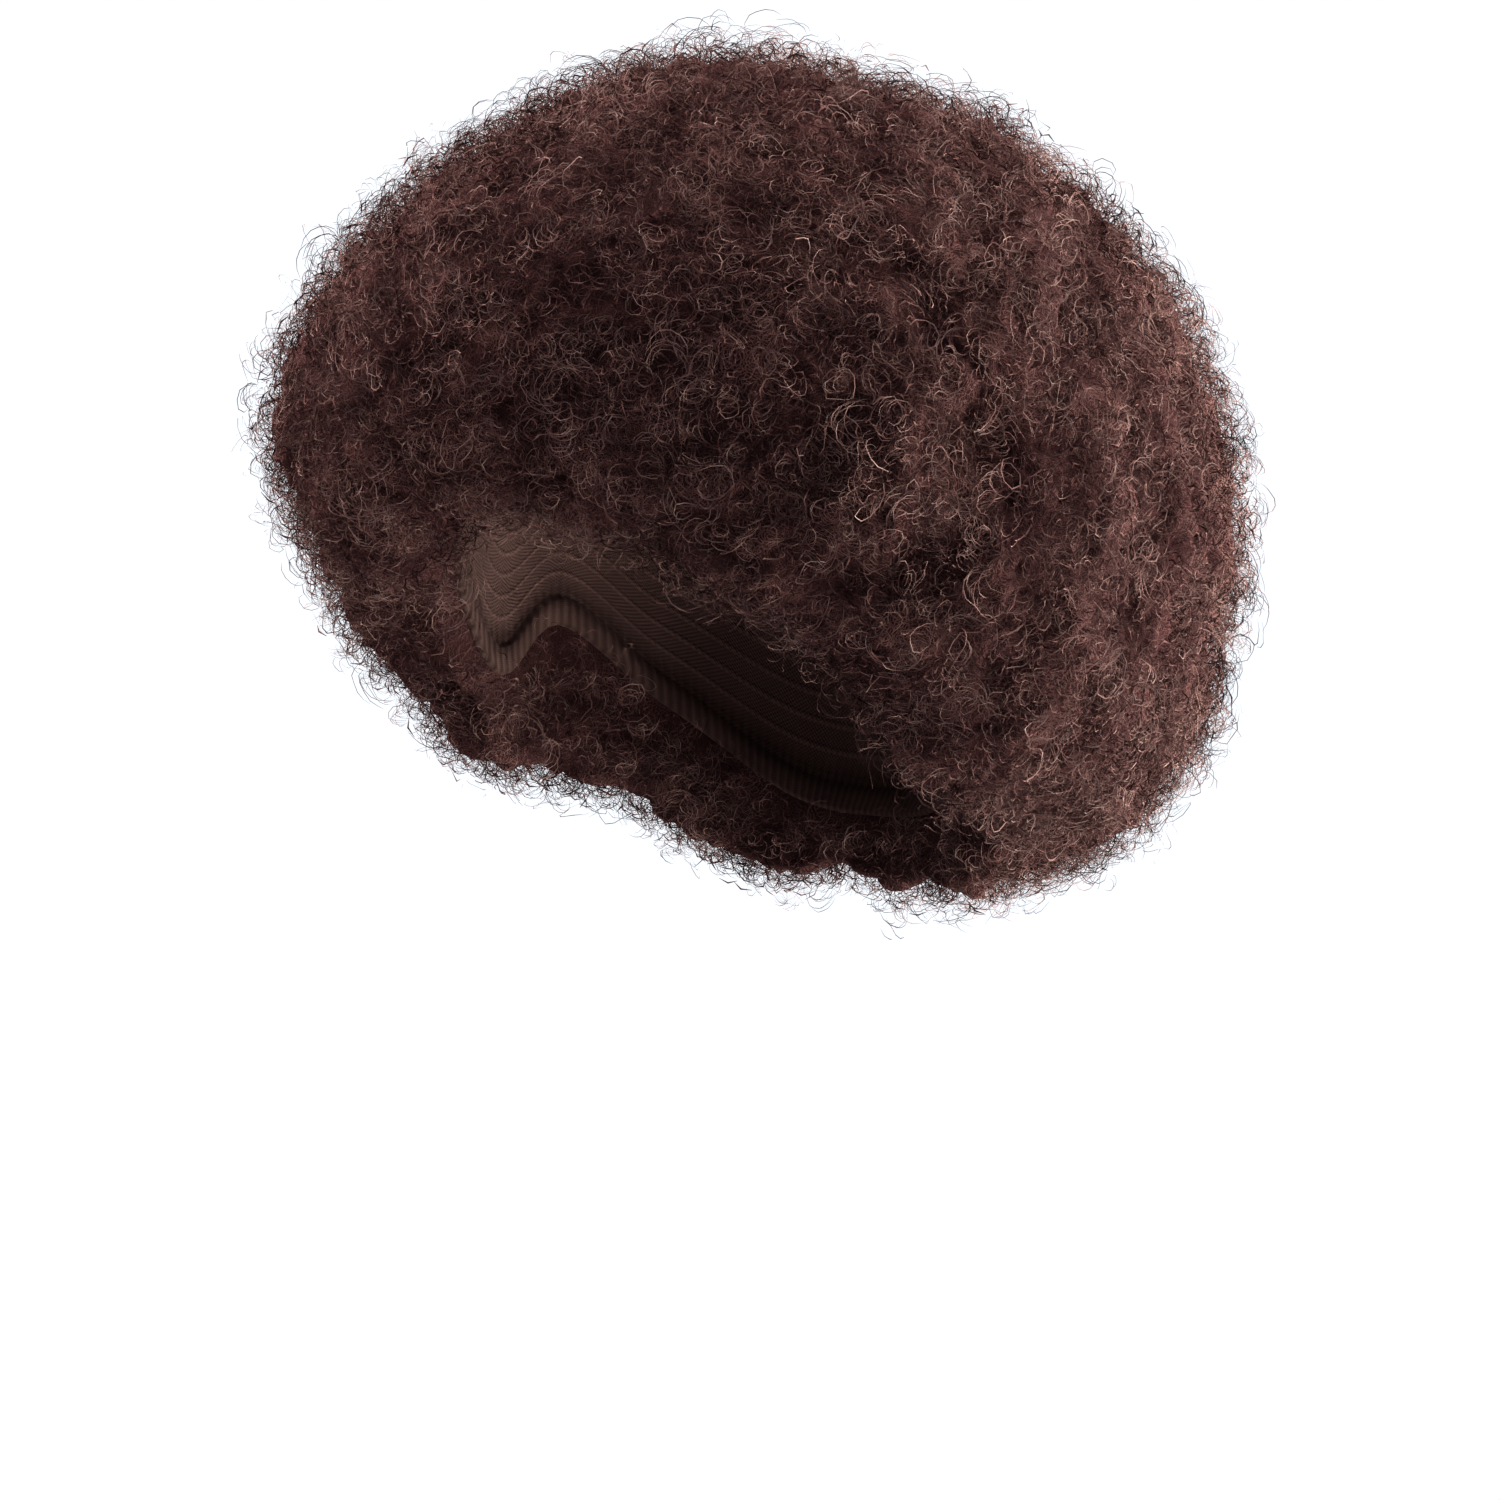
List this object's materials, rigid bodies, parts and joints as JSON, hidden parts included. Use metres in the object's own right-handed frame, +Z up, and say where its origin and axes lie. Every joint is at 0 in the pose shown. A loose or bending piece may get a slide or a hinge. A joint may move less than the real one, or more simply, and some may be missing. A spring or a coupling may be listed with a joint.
{
  "type": "afro wig",
  "caption": "Full rounded wig of dense dark brown curls on a stretch cap, open below for the head, cut high over the forehead and low at the nape.",
  "frame": {"origin": "top of the head: the inside of the cap's crown, where the wig sits on the head", "axes": "+Z up, the wearer faces -Y, the wearer's left is +X"},
  "size_m": [0.2769, 0.2975, 0.2556],
  "materials": {
    "hair": "fine curled fibre, slightly glossy",
    "cap_cloth": "matt stretch knit"
  },
  "bodies": {
    "root": {"wig_cap": "cap_cloth", "hair_crown": "hair", "hair_fringe": "hair", "hair_side_left": "hair", "hair_side_right": "hair", "hair_back": "hair", "hair_nape": "hair"}
  },
  "joints": []
}
